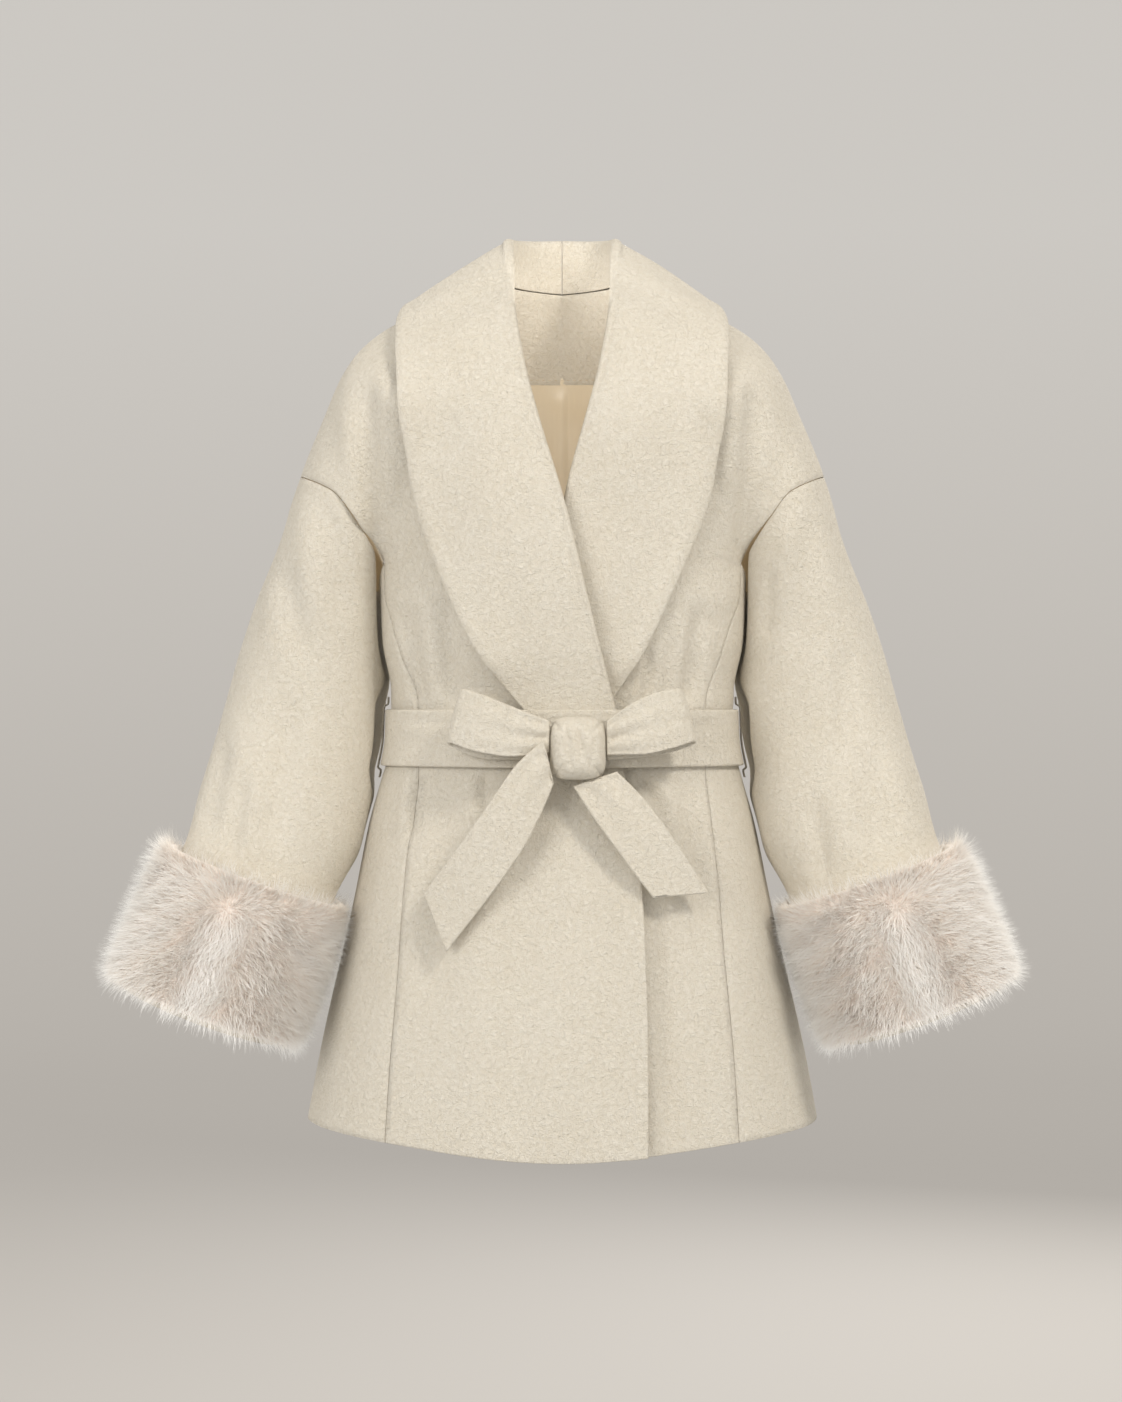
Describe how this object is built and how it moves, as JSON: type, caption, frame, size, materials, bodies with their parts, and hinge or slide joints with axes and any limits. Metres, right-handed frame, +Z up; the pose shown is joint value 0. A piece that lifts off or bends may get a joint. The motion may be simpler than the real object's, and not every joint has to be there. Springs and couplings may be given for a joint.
{
  "type": "wrap coat",
  "caption": "Short wrap coat in felted wool with a wide shawl collar, turned fur cuffs and a tied belt, filled out as worn.",
  "frame": {"origin": "midway between the shoulders at the height of the shoulder seams, where a wearer holds the coat up", "axes": "+Z up, the front faces -Y, the wearer's right side is -X"},
  "size_m": [0.864, 0.3258, 0.8727],
  "materials": {
    "wool": "felted and brushed wool, matt with a short nap",
    "lining": "satin, soft sheen",
    "fur": "long-haired fur, soft"
  },
  "bodies": {
    "root": {"front_right": "wool", "front_left": "wool", "side_panel_right": "wool", "side_panel_left": "wool", "back_right": "wool", "back_left": "wool", "sleeve_right": "wool", "sleeve_left": "wool", "collar_right": "wool", "collar_left": "wool", "back_neck_facing": "wool", "lining_back": "lining", "fur_cuff_right": "fur", "fur_cuff_left": "fur", "belt_band": "wool", "belt_loop_right": "wool", "belt_loop_left": "wool", "bow_loop_right": "wool", "bow_loop_left": "wool", "bow_knot": "wool", "tail_right": "wool", "tail_left": "wool"}
  },
  "joints": []
}
